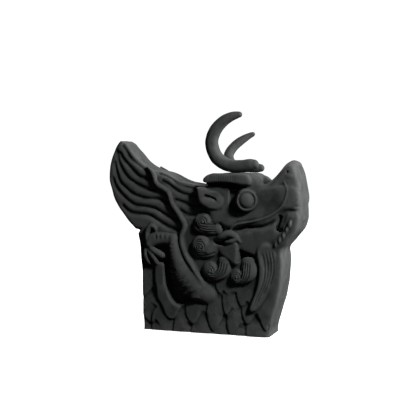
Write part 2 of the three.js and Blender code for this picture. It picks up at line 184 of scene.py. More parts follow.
class ClayMass:
    """A heap of closed clay forms, which are later pressed into one skin."""

    def __init__(self) -> None:
        """Start with no clay."""
        self.mesh = bmesh.new()

    def slab(self, outline: Places, half: float, edge: float, cuts: int = 0) -> list[bmesh.types.BMVert]:
        """Lay a flat slab across the beast, with rounded rims.

        Args:
            outline: The outline in X and Z.
            half: Half its thickness.
            edge: The radius of its rims.
            cuts: How many cuts it gets across its thickness.

        Returns:
            The vertices of the slab.
        """
        clay = self.mesh
        known = set(clay.verts)
        corners = [clay.verts.new((x, -half, z)) for x, z in outline]
        near = clay.faces.new(corners)
        grown = bmesh.ops.extrude_face_region(clay, geom=[near])["geom"]
        far = [item for item in grown if isinstance(item, bmesh.types.BMVert)]
        bmesh.ops.translate(clay, vec=(0, 2 * half, 0), verts=far)
        new = [vert for vert in clay.verts if vert not in known]
        edges = dict.fromkeys(side for vert in new for side in vert.link_edges)
        rims = [side for side in edges if abs(side.verts[0].co.y - side.verts[1].co.y) < half]
        across = [side for side in edges if side not in set(rims)]
        if cuts:
            bmesh.ops.subdivide_edges(clay, edges=across, cuts=cuts, use_grid_fill=True)
        bmesh.ops.bevel(clay, geom=rims, offset=edge, segments=4, profile=0.5, affect="EDGES",
                        material=-1)
        return [vert for vert in clay.verts if vert not in known]

    def roll(self, stations: Stations, sides: int = 16, steps: int = 24) -> list[bmesh.types.BMVert]:
        """Lay a roll of clay through stations, with both ends rounded.

        Args:
            stations: Rows of x, z, level, and the half sizes along and off the flank.
            sides: The number of sides of its section.
            steps: The number of steps along it.

        Returns:
            The vertices of the roll.
        """
        clay = self.mesh
        rows = smooth_line(stations, steps)
        path = np.column_stack([rows[:, 0], -rows[:, 2], rows[:, 1]])
        tangents = np.gradient(path, axis=0)
        tangents /= np.linalg.norm(tangents, axis=1)[:, None]
        sizes = np.maximum(rows[:, 3:5], 0.3)
        rings = [self._ring(path[0], tangents[0], sizes[0], -turn) for turn in (85, 65, 40, 20)]
        rings += [self._ring(*row, 0) for row in zip(path, tangents, sizes)]
        rings += [self._ring(path[-1], tangents[-1], sizes[-1], turn) for turn in (20, 40, 65, 85)]
        made = bmesh.ops.create_circle(clay, cap_ends=True, segments=sides, radius=1.0, matrix=rings[0])
        verts = list(made["verts"])
        cap = verts[0].link_faces[0]
        end = verts
        for before, after in zip(rings, rings[1:]):
            grown = bmesh.ops.extrude_face_region(clay, geom=[cap])["geom"]
            end = [item for item in grown if isinstance(item, bmesh.types.BMVert)]
            cap = next(item for item in grown if isinstance(item, bmesh.types.BMFace))
            bmesh.ops.transform(clay, matrix=after @ before.inverted(), verts=end)
            verts += end
        return verts

    def pad(self, pad: Pad) -> None:
        """Lay a flat pad on the right flank, with a rounded outer rim."""
        clay, low, outline = self.mesh, pad.low, pad.outline
        known = set(clay.verts)
        line = [tuple(row) for row in smooth_line(outline + outline[:1], 3 * len(outline))[:-1]]
        inner = clay.faces.new([clay.verts.new((x, -low, z)) for x, z in line])
        grown = bmesh.ops.extrude_face_region(clay, geom=[inner])["geom"]
        outer = [item for item in grown if isinstance(item, bmesh.types.BMVert)]
        bmesh.ops.translate(clay, vec=(0, low - pad.high, 0), verts=outer)
        raised = set(outer)
        rim = [side for vert in outer for side in vert.link_edges if set(side.verts) <= raised]
        bmesh.ops.bevel(clay, geom=list(dict.fromkeys(rim)), offset=pad.edge, segments=4, profile=0.5,
                        affect="EDGES", material=-1)
        if pad.taper is None:
            return
        (x0, z0), (x1, z1), share = pad.taper
        way = Vector((x1 - x0, z1 - z0))
        for vert in clay.verts:
            if vert not in known:
                along = (Vector((vert.co.x - x0, vert.co.z - z0)) @ way) / way.length_squared
                keep = 1 + (share - 1) * min(max(along, 0.0), 1.0)
                vert.co.y = -low + (vert.co.y + low) * keep

    @staticmethod
    def _ring(spot: np.ndarray, along: np.ndarray, size: np.ndarray, turn: float) -> Matrix:
        """Place one ring of a roll.

        Args:
            spot: The middle of the ring.
            along: The direction of the roll there.
            size: Its half sizes along and off the flank.
            turn: Degrees round the rounded end, below 0 before the start and 0 on the roll.

        Returns:
            The matrix that takes a unit circle to the ring.
        """
        forward = Vector(along)
        out = Vector((0, -1, 0)) - forward * Vector((0, -1, 0)).dot(forward)
        out.normalize()
        side = out.cross(forward)
        shrink = math.cos(math.radians(turn))
        reach = min(size) * math.sin(math.radians(turn))
        middle = Vector(spot) + forward * reach
        columns = [side * size[0] * shrink, out * size[1] * shrink, forward]
        matrix = Matrix.Identity(4)
        for i, column in enumerate(columns):
            for row in range(3):
                matrix[row][i] = column[row]
        matrix.translation = middle
        return matrix

    def dome(self, x: float, z: float, level: float, sizes: Sizes) -> None:
        """Lay a ball, or a flattened dome.

        Args:
            x: Its middle along the beast.
            z: Its middle in height.
            level: Its middle from the mid-plane.
            sizes: Its half sizes along X, off the flank and along Z.
        """
        place = Matrix.Translation((x, -level, z)) @ Matrix.Diagonal((*sizes, 1.0))
        bmesh.ops.create_uvsphere(self.mesh, u_segments=32, v_segments=20, radius=1.0, matrix=place)

    def turned(self, profile: Places, x: float, z: float, stretch: float, lean: float) -> None:
        """Lay a form that is turned about an axis off the flank.

        Args:
            profile: Rows of radius and level, from axis to axis.
            x: The axis along the beast.
            z: The axis in height.
            stretch: How much taller than wide the form is.
            lean: Degrees by which its face looks towards the snout.
        """
        clay = self.mesh
        points = [clay.verts.new((x + radius, -level, z)) for radius, level in profile]
        wires = [clay.edges.new(pair) for pair in zip(points, points[1:])]
        made = bmesh.ops.spin(clay, geom=points + wires, cent=(x, 0, z), axis=(0, 1, 0), dvec=(0, 0, 0),
                              angle=2 * math.pi, steps=48, use_merge=True, use_duplicate=False)
        verts = [item for item in made["geom_last"] if isinstance(item, bmesh.types.BMVert)] + points
        shell = self._linked(verts)
        bmesh.ops.remove_doubles(clay, verts=shell, dist=1e-4)
        shell = [vert for vert in shell if vert.is_valid]
        bmesh.ops.scale(clay, vec=(1, 1, stretch), verts=shell, space=Matrix.Translation((-x, 0, -z)))
        bmesh.ops.rotate(clay, cent=(x, -HEAD_HALF, z), verts=shell,
                         matrix=Matrix.Rotation(math.radians(lean), 3, "Z"))

    @staticmethod
    def _linked(seeds: list[bmesh.types.BMVert]) -> list[bmesh.types.BMVert]:
        """Gather every vertex that is joined to the given ones by edges."""
        found = dict.fromkeys(seeds)
        waiting = list(seeds)
        while waiting:
            vert = waiting.pop()
            for side in vert.link_edges:
                other = side.other_vert(vert)
                if other not in found:
                    found[other] = None
                    waiting.append(other)
        return list(found)

    def mirror(self) -> None:
        """Repeat every form on the other flank."""
        clay = self.mesh
        everything = clay.verts[:] + clay.edges[:] + clay.faces[:]
        bmesh.ops.mirror(clay, geom=everything, merge_dist=0.0, axis="Y")

    def take(self, source: bpy.types.Mesh) -> None:
        """Add the clay of a finished mesh."""
        self.mesh.from_mesh(source)

    def press(self, name: str, voxel: float) -> bpy.types.Object:
        """Press all the forms into one closed skin.

        Args:
            name: The name of the new object.
            voxel: The grain of the skin.

        Returns:
            The object that carries the skin.
        """
        bmesh.ops.recalc_face_normals(self.mesh, faces=self.mesh.faces)
        loose = bpy.data.meshes.new(f"{name}_forms")
        self.mesh.to_mesh(loose)
        self.mesh.free()
        piece = bpy.data.objects.new(name, loose)
        bpy.context.scene.collection.objects.link(piece)
        fuse = piece.modifiers.new("fuse", "REMESH")
        fuse.mode = "VOXEL"
        fuse.voxel_size = voxel
        fuse.use_smooth_shade = True
        finish_modifiers(piece)
        return piece


def finish_modifiers(piece: bpy.types.Object) -> None:
    """Turn a piece's modifiers into its mesh."""
    graph = bpy.context.evaluated_depsgraph_get()
    done = bpy.data.meshes.new_from_object(piece.evaluated_get(graph))
    old = piece.data
    piece.modifiers.clear()
    piece.data = done
    done.name = piece.name
    bpy.data.meshes.remove(old)


# ---------------------------------------------------------------- the tools that work the skin


class Skin:
    """A closed clay skin whose points are moved as a modelling tool moves wet clay."""

    def __init__(self, piece: bpy.types.Object) -> None:
        """Read the points of a piece."""
        self.piece = piece
        count = len(piece.data.vertices)
        flat = np.empty(count * 3)
        piece.data.vertices.foreach_get("co", flat)
        self.points = flat.reshape(count, 3)
        pairs = np.empty(len(piece.data.edges) * 2, dtype=np.int64)
        piece.data.edges.foreach_get("vertices", pairs)
        self.pairs = pairs.reshape(-1, 2)
        self.degree = np.maximum(np.bincount(self.pairs.ravel(), minlength=count), 1)
        self.normals = np.zeros_like(self.points)
        self.settle()

    def settle(self) -> None:
        """Write the points to the mesh and read its normals again."""
        mesh = self.piece.data
        mesh.vertices.foreach_set("co", self.points.ravel())
        mesh.update()
        flat = np.empty(len(mesh.vertices) * 3)
        mesh.vertices.foreach_get("normal", flat)
        self.normals = flat.reshape(-1, 3)

    def mean(self, values: np.ndarray) -> np.ndarray:
        """Average each point's neighbours.

        Args:
            values: One row for each point.

        Returns:
            The averages, one row for each point.
        """
        first, second = self.pairs.T
        total = np.empty_like(values)
        for axis in range(values.shape[1]):
            column = values[:, axis]
            total[:, axis] = (np.bincount(first, column[second], len(column))
                              + np.bincount(second, column[first], len(column)))
        return total / self.degree[:, None]

    def relax(self, rounds: int, share: np.ndarray | float = 1.0) -> None:
        """Smooth the skin.

        Args:
            rounds: How many times it is smoothed.
            share: How strongly each point is smoothed, from 0 to 1.
        """
        strength = np.broadcast_to(np.asarray(share, dtype=float), len(self.points))[:, None]
        for _ in range(rounds):
            self.points += 0.5 * strength * (self.mean(self.points) - self.points)
        self.settle()

    def soften(self, rounds: int, along: Place, heights: Place, border: float = 8.0) -> None:
        """Smooth one region of the skin, less towards its borders.

        Args:
            rounds: How many times it is smoothed.
            along: The region's range in X.
            heights: Its range in Z.
            border: The width over which the smoothing fades in.
        """
        x, z = self.points[:, 0], self.points[:, 2]
        share = ease(x, along[0], along[0] + border) * ease(-x, -along[1], -along[1] + border)
        share *= ease(z, heights[0], heights[0] + border) * ease(-z, -heights[1], -heights[1] + border)
        self.relax(rounds, share)

    def near(self, line: np.ndarray, reach: float,
             levels: Place) -> tuple[np.ndarray, np.ndarray, np.ndarray, np.ndarray]:
        """Find the points of both flanks that lie near a line.

        Args:
            line: The line's points in X and Z.
            reach: How far from the line to look.
            levels: The lowest and highest level to look at.

        Returns:
            The points' numbers, their distance, the side they are on (above 0 on the left of the
            line) and the share of the line's length that lies behind them.
        """
        x, z = self.points[:, 0], self.points[:, 2]
        level = np.abs(self.points[:, 1])
        low, high = line.min(axis=0) - reach, line.max(axis=0) + reach
        inside = (x > low[0]) & (x < high[0]) & (z > low[1]) & (z < high[1])
        inside &= (level > levels[0]) & (level < levels[1])
        picked = np.nonzero(inside)[0]
        spots = self.points[picked][:, [0, 2]]
        best = np.full(len(picked), np.inf)
        side = np.zeros(len(picked))
        share = np.zeros(len(picked))
        lengths = np.linalg.norm(np.diff(line, axis=0), axis=1)
        passed = np.concatenate([[0.0], np.cumsum(lengths)])
        for i, length in enumerate(lengths):
            step = line[i + 1] - line[i]
            offset = spots - line[i]
            part = np.clip(offset @ step / max(length, 1e-6) ** 2, 0.0, 1.0)
            gap = np.linalg.norm(offset - part[:, None] * step, axis=1)
            closer = gap < best
            turn = np.sign(step[0] * offset[:, 1] - step[1] * offset[:, 0])
            best[closer] = gap[closer]
            side[closer] = turn[closer]
            share[closer] = ((passed[i] + part * length) / passed[-1])[closer]
        return picked, best, side, share

    def facing(self, picked: np.ndarray) -> np.ndarray:
        """Say how far points face off the flank, from 0 to 1."""
        return ease(np.abs(self.normals[picked, 1]), 0.12, 0.5)

    def push(self, picked: np.ndarray, depth: np.ndarray) -> None:
        """Push points into the clay, against their normals."""
        self.points[picked] -= self.normals[picked] * depth[:, None]

    def score(self, stations: Places, cut: Cut) -> None:
        """Score a V-shaped line with soft shoulders into both flanks.

        Args:
            stations: The places the line runs through.
            cut: How the line is scored.
        """
        line = smooth_line(stations, 10 * len(stations))
        picked, gap, _, share = self.near(line, cut.wide, cut.levels)
        ends = ease(share, 0.0, cut.fade) * ease(1 - share, 0.0, cut.fade)
        press = cut.deep * np.clip(1 - gap / cut.wide, 0.0, 1.0) ** 2
        self.push(picked, press * ends * self.facing(picked))

    def ledge(self, stations: Places, drop: float, run: float) -> None:
        """Lower the clay on the right of a line, so that the clay on its left laps over it.

        Args:
            stations: The places the line runs through.
            drop: How far the clay is lowered at the line.
            run: How far from the line the clay comes back to its level.
        """
        line = smooth_line(stations, 10 * len(stations))
        picked, gap, side, share = self.near(line, run, GROUND_LEVELS)
        under = np.clip(1 - gap / run, 0.0, 1.0) * (side < 0)
        lip = 0.35 * np.clip(1 - gap / 3.0, 0.0, 1.0) ** 2 * (side >= 0)
        ends = ease(share, 0.0, 0.1) * ease(1 - share, 0.0, 0.1)
        self.push(picked, drop * (under + lip) * ends * self.facing(picked))

    def dish(self, x: float, z: float, sizes: Place, deep: float, levels: Place) -> None:
        """Press a soft hollow into both flanks, or raise a swelling with a depth below 0.

        Args:
            x: Its middle along the beast.
            z: Its middle in height.
            sizes: Its half sizes along X and Z.
            deep: Its depth.
            levels: The lowest and highest level that it touches.
        """
        level = np.abs(self.points[:, 1])
        far = ((self.points[:, 0] - x) / sizes[0]) ** 2 + ((self.points[:, 2] - z) / sizes[1]) ** 2
        picked = np.nonzero((far < 1) & (level > levels[0]) & (level < levels[1]))[0]
        self.push(picked, deep * (1 - far[picked]) ** 2 * self.facing(picked))

    def sink(self, hollow: Hollow) -> None:
        """Lower the ground inside an outline."""
        corners = np.asarray(hollow.outline + hollow.outline[:1])
        level = np.abs(self.points[:, 1])
        low, high = corners.min(axis=0), corners.max(axis=0)
        x, z = self.points[:, 0], self.points[:, 2]
        picked = np.nonzero((x > low[0]) & (x < high[0]) & (z > low[1]) & (z < high[1])
                            & (level > hollow.levels[0]) & (level < hollow.levels[1]))[0]
        spots = self.points[picked][:, [0, 2]]
        within = np.zeros(len(picked), dtype=bool)
        gap = np.full(len(picked), np.inf)
        for start, end in zip(corners, corners[1:]):
            rises = (start[1] > spots[:, 1]) != (end[1] > spots[:, 1])
            slope = (end[0] - start[0]) / ((end[1] - start[1]) or 1e-9)
            within ^= rises & (spots[:, 0] < start[0] + slope * (spots[:, 1] - start[1]))
            step = end - start
            part = np.clip((spots - start) @ step / (step @ step), 0.0, 1.0)
            gap = np.minimum(gap, np.linalg.norm(spots - start - part[:, None] * step, axis=1))
        self.push(picked, hollow.deep * within * ease(gap, 0.0, hollow.soft) * self.facing(picked))

    def unevenness(self, height: float, waves: Place, seed: int) -> None:
        """Give the skin the slight waviness of clay that is worked by hand.

        Args:
            height: The height of the waves.
            waves: The shortest and longest wave.
            seed: The seed of the random waves.
        """
        dice = np.random.default_rng(seed)
        total = np.zeros(len(self.points))
        count = 28
        for _ in range(count):
            way = dice.normal(size=3)
            way *= 2 * math.pi / dice.uniform(*waves) / np.linalg.norm(way)
            total += np.sin(self.points @ way + dice.uniform(0, 2 * math.pi))
        lift = height * total / math.sqrt(count / 2)
        self.points += self.normals * (lift * ease(self.points[:, 2], 0.0, 3.0))[:, None]


# ---------------------------------------------------------------- the forms of the body


class Form:
    """A sub-assembly of the body."""

    def lay_ground(self, clay: ClayMass) -> None:
        """Lay the large forms, which span both flanks."""

    def score_ground(self, skin: Skin) -> None:
        """Score the lines that run under the relief."""

    def lay_relief(self, clay: ClayMass) -> None:
        """Lay the relief of the right flank."""

    def score_relief(self, skin: Skin) -> None:
        """Score the lines that run over the relief."""


@dataclass(frozen=True)
class NeckBlock(Form):
    """The base block and the chest, from the underside up to the neck."""

    half: float = BLOCK_HALF
    edge: float = 4.0
    rear: Places = ((-115, -20), (-115, 0), (-116, 24), (-117, 45), (-117.4, 75), (-117.5, 100),
                    (-120, 124), (-121.5, 150), (-126, 172))
    neck: Places = ((-98, 198), (-30, 260), (20, 262))
    chest: Places = ((76, 232), (114, 192), (137, 150), (138, 105), (133, 71), (124, 38))
    front: Places = ((117, 14), (115, -20))
    leg_hollow: Hollow = Hollow(((-97, 150), (-84, 152), (-52, 152), (-40, 110), (-6, 62), (-5, 57),
                                 (-18, 54), (-30, 51), (-44, 46), (-52, 48), (-58, 53), (-65, 65),
                                 (-70, 80), (-73, 100), (-74, 116), (-90, 122)), 8.0, 4.0)
    jaw_hollow: Hollow = Hollow(((60, 152), (70, 147), (92, 140), (97, 134), (96, 129), (64, 128),
                                 (60, 136)), 14.0, 3.0)
    chest_corners: Region = (50, (104, 176), (-10, 160))

    def lay_ground(self, clay: ClayMass) -> None:
        """Lay the block."""
        chest = tuple(map(tuple, smooth_line(self.chest, 18)))
        clay.slab(self.rear + self.neck + chest + self.front, self.half, self.edge)

    def score_ground(self, skin: Skin) -> None:
        """Round the chest and sink the ground behind the foreleg and under the jaw."""
        skin.soften(*self.chest_corners)
        skin.sink(self.leg_hollow)
        skin.sink(self.jaw_hollow)


@dataclass(frozen=True)
class ScaleField(Form):
    """The overlapping pointed scales of the lower flank.

    Each edge runs down a scale's rear side, round its tip and up its front side.
    """

    drop: float = 3.0
    run: float = 16.0
    edges: tuple[Places, ...] = (
        ((20, 88), (23, 78), (29, 71), (36, 78)),
        ((58, 77), (60, 64), (67, 51), (80, 62)),
        ((33, 71), (33, 57), (39, 35), (52, 50)),
        ((95, 43), (99, 31), (111, 11), (118, 24)),
        ((68, 51), (69, 35), (77, 21), (94, 40)),
        ((8, 57), (4, 36), (8, 18), (17, 4), (37, 37)),
        ((-34, 50), (-34, 31), (-21, 15), (-2, 42)),
        ((42, 37), (41, 18), (48, 0), (66, 22)),
        ((76, 22), (75, 8), (77, -4)),
        ((-45, 38), (-54, 25), (-60, -3)),
        ((-88, 44), (-98, 28), (-100, -3)),
        ((-22, 15), (-25, 6), (-27, -4)),
        ((-118, 26), (-101, 12), (-90, 20)),
        ((-120, 56), (-112, 62), (-96, 77)),
    )

    def score_ground(self, skin: Skin) -> None:
        """Press the scales into the ground, the uppermost last."""
        for edge in reversed(self.edges):
            skin.ledge(edge, self.drop, self.run)


@dataclass(frozen=True)
class Mane(Form):
    """The swept-back mane, which thins towards its raised rear tip."""

    tip: Place = (-163.5, 340.5)
    tip_half: float = 27.0
    edge: float = 6.0
    swell: float = 1.02
    root: tuple[Place, Place] = ((-126, 178), (-30, 265))
    rear: Places = ((-131, 178), (-157.5, 207), (-176, 236), (-184.5, 270), (-183.5, 296), (-174.5, 325),
                    (-163.5, 340.5))
    top: Places = ((-153, 335), (-142, 322.5), (-123.5, 303), (-100, 290), (-77, 285), (-44, 270),
                   (-18, 263))
    locks: tuple[Places, ...] = (
        ((-159, 330), (-152, 319), (-142, 305), (-130, 296), (-117, 287), (-101, 279)),
        ((-164, 318), (-159, 306), (-148, 294), (-135, 281), (-122, 271), (-111, 269), (-95, 267)),
        ((-169, 322), (-168, 310), (-165, 297), (-158, 284), (-148, 271), (-134, 261), (-120, 254),
         (-103, 249), (-86, 249)),
        ((-174, 304), (-172, 290), (-168, 275), (-162, 262), (-149, 250), (-136, 241), (-123, 236),
         (-108, 233), (-85, 232), (-72, 227), (-62, 222)),
        ((-178, 275), (-173, 259), (-167, 249), (-154, 236), (-141, 226), (-131, 221), (-115, 219),
         (-99, 217), (-87, 213), (-75, 206), (-60, 200), (-44, 195)),
        ((-160, 224), (-144, 210), (-131, 206), (-115, 205), (-100, 202), (-87, 195), (-77, 189),
         (-62, 182), (-40, 178)),
    )
    neck_locks: tuple[Places, ...] = (
        ((-88, 280), (-72, 275), (-62, 270), (-50, 261), (-37, 256), (-20, 252), (-4, 250)),
        ((-82, 266), (-66, 258), (-54, 250), (-41, 243), (-20, 239), (-4, 239)),
        ((-56, 233), (-41, 228), (-20, 223), (-2, 222)),
        ((-48, 216), (-32, 207), (-22, 206), (-12, 207)),
    )
    base: Places = ((-60, 176), (0, 190))
    lock_cut: Cut = Cut(7.5, 5.0, 0.06)
    neck_cut: Cut = Cut(6.75, 4.25, 0.05)

    def half_at(self, x: float, z: float) -> float:
        """Give half the thickness of the mane at a place."""
        (x0, z0), (x1, z1) = self.root

        def behind(px: float, pz: float) -> float:
            """Measure how far a place lies behind the root."""
            return (x1 - x0) * (pz - z0) - (z1 - z0) * (px - x0)

        reach = max(0.0, behind(x, z) / behind(*self.tip))
        return BLOCK_HALF * self.swell * (1 - reach) + self.tip_half * reach

    def lay_ground(self, clay: ClayMass) -> None:
        """Lay the fan and thin it towards its tip."""
        rear = tuple(map(tuple, smooth_line(self.rear, 28)))
        top = tuple(map(tuple, smooth_line(self.top, 24)))
        outline = self.base + top[::-1] + rear[::-1]
        for vert in clay.slab(outline, BLOCK_HALF, self.edge):
            vert.co.y *= self.half_at(vert.co.x, vert.co.z) / BLOCK_HALF

    def score_ground(self, skin: Skin) -> None:
        """Score the lines between the locks."""
        for line in self.locks:
            skin.score(line, self.lock_cut)
        for line in self.neck_locks:
            skin.score(line, self.neck_cut)


@dataclass(frozen=True)
class Head(Form):
    """The head: crown, nose bridge, snout, upper jaw, lower jaw and the core behind the mouth."""

    half: float = HEAD_HALF
    edge: float = 9.0
    jaw_half: float = 40.0
    jaw_edge: float = 7.0
    core_half: float = 36.0
    bridge: Places = ((82, 262), (98, 260.5), (106, 260.5), (126, 272))
    snout_front: Places = ((160, 276), (167, 256), (170, 238), (169.5, 227))
    core_front: Places = ((170, 215), (169.5, 204), (164, 184), (150, 166.5), (136, 150))
    upper_lip: Places = ((167, 224), (158, 218.5), (150, 217), (143, 216), (136, 210), (130, 202),
                         (118, 194.5), (106, 190), (88, 188), (70, 186.5), (58, 184.5), (44, 184))
    crown: Places = ((14, 190), (6, 215), (0, 250), (0, 266), (12, 271), (40, 271), (76, 269))
    jaw_top: Places = ((30, 178), (56, 179), (70, 181), (88, 186), (106, 189), (118, 193), (129, 199),
                       (133, 184), (138, 190), (144, 206), (148, 214), (156, 216), (166, 216))
    jaw_front: Places = ((169, 205), (167, 195), (163, 184), (150, 166.5), (136, 150))
    jaw_below: Places = ((98, 133), (80, 141), (62, 149), (44, 160), (34, 166))
    mouth_corner: Places = ((137, 209), (135, 202), (132.5, 193), (132, 186), (135, 183), (140, 187))
    lip_rolls: tuple[Knob, ...] = ((162, 203, 0, (8.5, 37, 8.5)), (163, 219, 0, (7, 35, 6.5)))
    corner_cut: Cut = Cut(4.6, 11.0, 0.05)
    snout_corners: Region = (24, (138, 176), (222, 276))
    chin_corners: Region = (14, (118, 176), (140, 186))
    cheek_dish: Dish = (112, 232, (34, 34), 4.0, (34, 44))
    throat_dish: Dish = (30, 181, (9, 18), 6.0, (30, 44))

    def lay_ground(self, clay: ClayMass) -> None:
        """Lay the core, the upper head and the lower jaw."""
        bridge = tuple(map(tuple, smooth_line(self.bridge, 12)))
        front = tuple(map(tuple, smooth_line(self.snout_front, 12)))
        core_front = tuple(map(tuple, smooth_line(self.core_front, 16)))
        jaw_front = tuple(map(tuple, smooth_line(self.jaw_front, 14)))
        clay.slab(self.crown + bridge + front + core_front + self.jaw_below, self.core_half, self.edge)
        clay.slab(self.crown + bridge + front + self.upper_lip, self.half, self.edge)
        clay.slab(self.jaw_top + jaw_front + self.jaw_below, self.jaw_half, self.jaw_edge)
        for knob in self.lip_rolls:
            clay.dome(*knob)

    def score_ground(self, skin: Skin) -> None:
        """Soften the snout and the chin, and open the corner of the mouth."""
        skin.soften(*self.snout_corners)
        skin.soften(*self.chin_corners)
        skin.score(self.mouth_corner, self.corner_cut)
        skin.dish(*self.cheek_dish)
        skin.dish(*self.throat_dish)


@dataclass(frozen=True)
class Snout(Form):
    """The upturned end of the snout, with the bulb of the nose and the nostrils."""

    half: float = 38.0
    edge: float = 6.0
    crown: float = 12.0
    back: Places = ((96, 258), (106, 261), (120, 273), (130, 284.5), (141, 296.5), (150, 302))
    front: Places = ((157.5, 299), (162, 288), (167, 266), (168.5, 244))
    crown_heights: Place = (250.0, 275.0)
    root: Places = ((106, 240),)
    bulb: Knob = (153.0, 289.5, 0.0, (9.5, 27.0, 11.0))
    wing: Knob = (151.0, 274.0, 33.0, (9.0, 6.5, 7.0))
    tip_corners: Region = (16, (118, 176), (262, 320))
    nostril: Dish = (147.5, 281.5, (2.9, 2.9), 5.0, (14, 60))

    def lay_ground(self, clay: ClayMass) -> None:
        """Lay the tip and crown its top."""
        back = tuple(map(tuple, smooth_line(self.back, 18)))
        front = tuple(map(tuple, smooth_line(self.front, 12)))
        for vert in clay.slab(self.root + back + front, self.half, self.edge, cuts=9):
            rise = float(ease(np.array(vert.co.z), *self.crown_heights))
            vert.co.z -= rise * self.crown * (vert.co.y / self.half) ** 2
        clay.dome(*self.bulb)

    def score_ground(self, skin: Skin) -> None:
        """Soften the tip before the nostrils are sunk."""
        skin.soften(*self.tip_corners)

    def lay_relief(self, clay: ClayMass) -> None:
        """Lay the wings of the nose."""
        clay.dome(*self.wing)

    def score_relief(self, skin: Skin) -> None:
        """Sink the nostrils."""
        skin.dish(*self.nostril)


@dataclass(frozen=True)
class Brow(Form):
    """The thick brow roll that overhangs both eyes and carries the horns."""

    half: float = 53.0
    edge: float = 4.5
    outline: Places = ((2, 264), (3, 270), (9, 275), (20, 278.5), (78, 278.5), (85, 275), (89, 267),
                       (87, 258), (70, 259), (50, 262), (30, 263.5), (10, 262))
    lead: Pad = Pad(((62, 276), (80, 277), (93, 273), (103, 265), (108, 255), (100, 248), (86, 248),
                     (74, 256)), 26.0, 49.0, 9.0, ((66, 266), (106, 260), 0.6))
    socket: Hollow = Hollow(((6, 272), (5, 259), (12, 257), (40, 254), (60, 252.5), (80, 250.5),
                             (86, 256), (78, 266), (40, 270)), 7.0, 3.0, (20, 44))
    flutes: int = 12
    flute_start: float = 15.0
    flute_pitch: float = 4.1
    flute_cut: Cut = Cut(2.2, 0.9, levels=(46, 60))
    lead_corners: Region = (26, (70, 120), (242, 286))

    def lay_ground(self, clay: ClayMass) -> None:
        """Lay the roll."""
        clay.slab(self.outline[::-1], self.half, self.edge)

    def score_ground(self, skin: Skin) -> None:
        """Sink the socket under the roll."""
        skin.sink(self.socket)

    def lay_relief(self, clay: ClayMass) -> None:
        """Lead the roll's front end down to the nose bridge."""
        clay.pad(self.lead)

    def score_relief(self, skin: Skin) -> None:
        """Score the faint upright flutes on the face of the roll."""
        for i in range(self.flutes):
            x = self.flute_start + i * self.flute_pitch
            skin.score(((x, 279), (x + 0.6, 272), (x - 0.3, 265)), self.flute_cut)
        skin.soften(*self.lead_corners)


@dataclass(frozen=True)
class Eye(Form):
    """The eye: a raised drum in a sunk socket, its thin rim and the ball inside it."""

    x: float = 79.0
    z: float = 233.5
    stretch: float = 1.06
    lean: float = 15.0
    profile: Places = ((0, 30), (19.5, 30), (19.0, 42), (18.0, 48), (17.0, 51.5), (16.1, 52.8), (15.2, 53),
                       (14.5, 52.3), (14.0, 50.5), (13.6, 48.5), (12.8, 50.3), (10.8, 53.2), (8.0, 55.4),
                       (4.0, 56.8), (0, 57.2))
    socket: Hollow = Hollow(((47, 256), (46.5, 236), (47, 222), (51, 214), (58, 211), (70, 211),
                             (80, 216), (80, 256)), 6.0, 3.0, (30, 44))

    def score_ground(self, skin: Skin) -> None:
        """Sink the socket."""
        skin.sink(self.socket)

    def lay_relief(self, clay: ClayMass) -> None:
        """Turn the eye."""
        clay.turned(self.profile, self.x, self.z, self.stretch, self.lean)


@dataclass(frozen=True)
class Ear(Form):
    """The ear: a broad leaf that points up and back, with a slit along it."""

    leaf: Pad = Pad(((-10, 255), (2, 254), (14, 251), (27, 247), (36, 241), (40, 233), (38, 225), (32, 219),
                     (24, 216), (12, 217.5), (3, 222), (-4, 229), (-8, 238), (-10, 246)),
                    30.0, 51.0, 6.0, ((-2, 235), (40, 238), 0.62))
    upper_lobe: Dish = (22, 241, (16, 8), 2.0, (38, 60))
    lower_lobe: Dish = (6, 229, (17, 9), -1.5, (38, 60))
    slit: Places = ((3, 241), (10, 239), (16, 237), (22, 234.5), (26, 229.5))
    slit_cut: Cut = Cut(4.2, 8.5, 0.22, (36, 60))

    def lay_relief(self, clay: ClayMass) -> None:
        """Lay the leaf of the ear."""
        clay.pad(self.leaf)

    def score_relief(self, skin: Skin) -> None:
        """Shape its lobes and score its slit."""
        skin.dish(*self.upper_lobe)
        skin.dish(*self.lower_lobe)
        skin.score(self.slit, self.slit_cut)


@dataclass(frozen=True)
class Curl(Form):
    """A spiral curl of hair: a domed knob, the locks that lead to it, and its incised lines."""

    x: float
    z: float
    knob: Sizes
    tail: Stations
    rings: tuple[float, ...]
    ends: tuple[Places, ...]
    starts: tuple[int, ...] = (30, -90, -30, 70)
    pitch: float = 3.8
    line_cut: Cut = Cut(2.3, 2.6, 0.07, (37, 60))

    def lay_relief(self, clay: ClayMass) -> None:
        """Lay the knob and its locks."""
        clay.dome(self.x, self.z, BLOCK_HALF, self.knob)
        clay.roll(self.tail, sides=24)

    def score_relief(self, skin: Skin) -> None:
        """Score the lines that run round the knob and along the locks."""
        for i, (reach, end) in enumerate(zip(self.rings, self.ends)):
            line = []
            for turn in range(self.starts[i], 271, 20):
                angle = math.radians(turn)
                out = reach - self.pitch * (270 - turn) / 360
                line.append((self.x + out * math.cos(angle), self.z + out * math.sin(angle)))
            skin.score(tuple(line) + end, self.line_cut)


